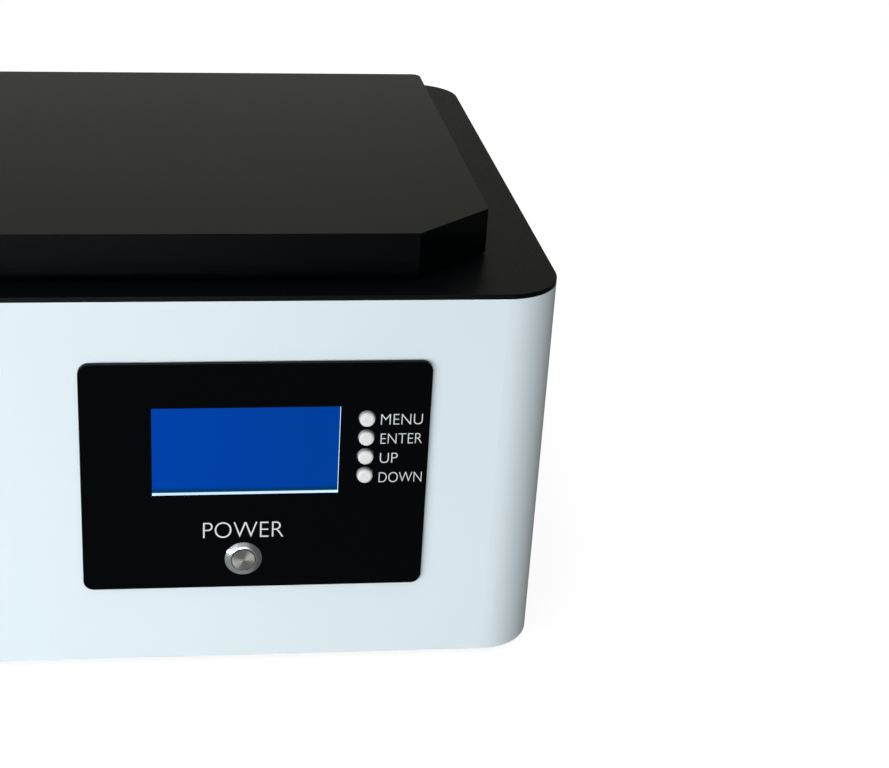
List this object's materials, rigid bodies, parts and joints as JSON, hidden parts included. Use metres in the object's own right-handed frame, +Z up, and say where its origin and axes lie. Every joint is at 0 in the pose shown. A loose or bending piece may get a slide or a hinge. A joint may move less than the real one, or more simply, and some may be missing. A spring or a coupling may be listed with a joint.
{
  "type": "resin printer",
  "caption": "Low desktop resin printer: hinged flat black lid over a print chamber, white sheet-metal body, front panel with display, menu buttons and round power button.",
  "frame": {"origin": "on the table, under the middle of the machine's bounding box", "axes": "+Z up, +X to the machine's right as seen from the front, +Y towards its rear; the control panel looks along -Y"},
  "size_m": [0.322, 0.2914, 0.178],
  "materials": {
    "white_paint": "satin powder coat",
    "black_paint": "fine-textured satin powder coat",
    "gloss_black": "polished acrylic",
    "display_blue": "backlit display glass",
    "button_white": "moulded",
    "stainless": "turned and brushed",
    "plated_steel": "zinc plated",
    "black_screws": "black oxide",
    "ground_steel": "ground",
    "anodised": "clear anodised",
    "platform_metal": "bead blasted",
    "vat_black": "black anodised",
    "brass_nut": "machined",
    "black_plastic": "moulded",
    "rocker_plastic": "moulded",
    "black_steel": "smooth black",
    "green_board": "solder mask",
    "blue_board": "solder mask",
    "white_board": "white solder mask",
    "clear_lens": "moulded clear",
    "mask_glass": "dark exposure screen",
    "clear_film": "clear film",
    "rubber": "moulded"
  },
  "bodies": {
    "machine": {"body_shell": "white_paint", "base_plate": "plated_steel", "rear_panel": "black_paint", "top_deck": "black_paint", "rubber_feet": "rubber", "control_panel": "gloss_black", "display_board": "blue_board", "display_bezel": "gloss_black", "display_glass": "display_blue", "switch_board": "green_board", "power_button_housing": "stainless", "power_button_nut": "plated_steel", "usb_port": "plated_steel", "chamber_liner": "black_paint", "vat_plate": "anodised", "plate_standoffs": "anodised", "uv_mask_panel": "mask_glass", "light_shroud": "plated_steel", "led_board": "white_board", "led_lenses": "clear_lens", "heat_sink": "anodised", "fan_housing": "black_plastic", "exhaust_fan_housing": "black_plastic", "fan_guard": "plated_steel", "vat_frame": "vat_black", "film_clamp": "anodised", "release_film": "clear_film", "z_column": "anodised", "linear_rails": "ground_steel", "z_motor": "black_steel", "top_bearing": "plated_steel", "limit_switch": "black_plastic", "main_board": "green_board", "power_supply": "plated_steel", "power_inlet": "black_plastic", "hinge_base_leaves": "black_steel", "hinge_pins": "ground_steel", "case_screws": "black_screws"},
    "lid": {"lid_shell": "black_paint", "lid_bumpers": "rubber", "hinge_lid_leaves": "black_steel", "lid_screws": "plated_steel"},
    "lift": {"carriage_plate": "anodised", "rail_blocks": "ground_steel", "lead_nut": "brass_nut", "platform_arm": "anodised", "build_platform": "platform_metal"},
    "platform_knob": {"platform_knob": "black_plastic"},
    "lead_screw": {"lead_screw": "ground_steel", "shaft_coupler": "anodised"},
    "cooling_fan": {"fan_rotor": "black_plastic"},
    "exhaust_fan": {"exhaust_fan_rotor": "black_plastic"},
    "menu_button": {"menu_button": "button_white"},
    "enter_button": {"enter_button": "button_white"},
    "up_button": {"up_button": "button_white"},
    "down_button": {"down_button": "button_white"},
    "power_button": {"power_button": "stainless"},
    "rocker_switch": {"rocker_switch": "rocker_plastic"},
    "vat_knob_left": {"vat_knob_left": "anodised"},
    "vat_knob_right": {"vat_knob_right": "anodised"}
  },
  "joints": [
    {"name": "lid_hinge", "type": "hinge", "parent": "machine", "child": "lid", "pos_m": [0, 0.0977, 0.1638], "axis": [-1, 0, 0], "range_deg": [0, 95]},
    {"name": "lift_slide", "type": "slide", "parent": "machine", "child": "lift", "axis": [0, 0, 1], "range_m": [-0.064, 0]},
    {"name": "platform_knob_turn", "type": "hinge", "parent": "lift", "child": "platform_knob", "pos_m": [0, -0.0295, 0.1653], "axis": [0, 0, 1], "continuous": true},
    {"name": "screw_turn", "type": "hinge", "parent": "machine", "child": "lead_screw", "pos_m": [0, 0.0645, 0.052], "axis": [0, 0, 1], "continuous": true},
    {"name": "cooling_fan_spin", "type": "hinge", "parent": "machine", "child": "cooling_fan", "pos_m": [0, -0.0295, 0.013], "axis": [0, 0, 1], "continuous": true},
    {"name": "exhaust_fan_spin", "type": "hinge", "parent": "machine", "child": "exhaust_fan", "pos_m": [-0.07, 0.1345, 0.068], "axis": [0, 1, 0], "continuous": true},
    {"name": "menu_press", "type": "slide", "parent": "machine", "child": "menu_button", "axis": [0, 1, 0], "range_m": [0, 0.0005], "stiffness_N_per_m": 800},
    {"name": "enter_press", "type": "slide", "parent": "machine", "child": "enter_button", "axis": [0, 1, 0], "range_m": [0, 0.0005], "stiffness_N_per_m": 800},
    {"name": "up_press", "type": "slide", "parent": "machine", "child": "up_button", "axis": [0, 1, 0], "range_m": [0, 0.0005], "stiffness_N_per_m": 800},
    {"name": "down_press", "type": "slide", "parent": "machine", "child": "down_button", "axis": [0, 1, 0], "range_m": [0, 0.0005], "stiffness_N_per_m": 800},
    {"name": "power_press", "type": "slide", "parent": "machine", "child": "power_button", "axis": [0, 1, 0], "range_m": [0, 0.0012], "stiffness_N_per_m": 900},
    {"name": "rocker_tilt", "type": "hinge", "parent": "machine", "child": "rocker_switch", "pos_m": [0.088, 0.141, 0.068], "axis": [-1, 0, 0], "range_deg": [0, 16]},
    {"name": "vat_knob_left_turn", "type": "hinge", "parent": "machine", "child": "vat_knob_left", "pos_m": [-0.085, -0.0295, 0.078], "axis": [0, 0, 1], "continuous": true},
    {"name": "vat_knob_right_turn", "type": "hinge", "parent": "machine", "child": "vat_knob_right", "pos_m": [0.085, -0.0295, 0.078], "axis": [0, 0, 1], "continuous": true}
  ],
  "couplings": [
    {"joint": "screw_turn", "follows": "lift_slide", "rad_per_m": -785.4}
  ]
}
